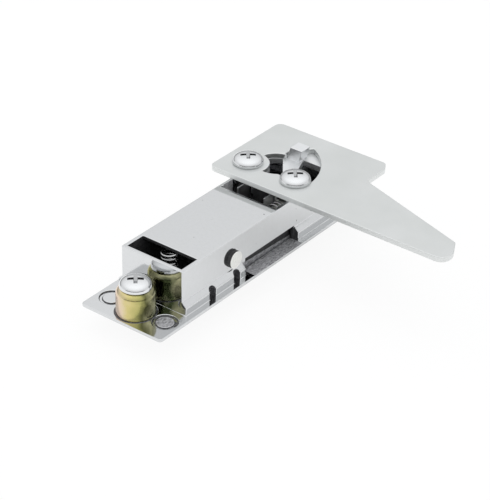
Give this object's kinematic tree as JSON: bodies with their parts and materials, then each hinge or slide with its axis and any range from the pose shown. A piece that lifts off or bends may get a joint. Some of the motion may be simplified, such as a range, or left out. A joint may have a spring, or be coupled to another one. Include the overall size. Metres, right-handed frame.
{
  "type": "cabinet knob lock",
  "caption": "Slim cast cabinet lock with a front knob, a push button and a quarter-turn cam plate with a tapered finger that holds the door behind its frame.",
  "frame": {"origin": "midway between the two mounting bushes, on the rear face of the flange, which lies on the cabinet door", "axes": "+Z points to the rear, into the cabinet; +Y runs along the lock from the push button to the cam; +X is the way the cam's finger points when locked"},
  "size_m": [0.0854, 0.104, 0.0294],
  "materials": {
    "chrome_cast": "bright chrome on a die casting, slightly uneven",
    "zinc_plate": "satin zinc-plated sheet",
    "nickel_screw": "bright nickel plate",
    "yellow_zinc": "iridescent yellow passivated zinc",
    "rough_cast": "rough unplated casting",
    "pin_steel": "ground steel",
    "spring_steel": "plated wire"
  },
  "bodies": {
    "base": {"housing": "chrome_cast", "near_bush": "yellow_zinc", "far_bush": "yellow_zinc", "near_bush_screw": "nickel_screw", "far_bush_screw": "nickel_screw", "bearing_block": "rough_cast", "pivot_pin": "pin_steel", "button_spring": "spring_steel", "detent_spring": "spring_steel"},
    "rocker": {"rocker": "rough_cast", "push_button": "chrome_cast"},
    "plunger": {"detent_plunger": "pin_steel"},
    "rotor": {"rotor": "chrome_cast", "carrier": "chrome_cast", "carrier_screws": "nickel_screw", "cam_plate": "zinc_plate", "left_cam_screw": "nickel_screw", "right_cam_screw": "nickel_screw", "knob": "chrome_cast", "knob_screw": "nickel_screw"}
  },
  "joints": [
    {"name": "cam_turn", "type": "hinge", "parent": "base", "child": "rotor", "pos_m": [0, 0.022, 0], "axis": [0, 0, 1], "range_deg": [0, 90]},
    {"name": "button_press", "type": "hinge", "parent": "base", "child": "rocker", "pos_m": [0, -0.0145, 0.0075], "axis": [-1, 0, 0], "range_deg": [0, 4], "deforming": ["button_spring"]},
    {"name": "plunger_slide", "type": "slide", "parent": "base", "child": "plunger", "axis": [0, -1, 0], "range_m": [0, 0.0008], "deforming": ["detent_spring"]}
  ]
}
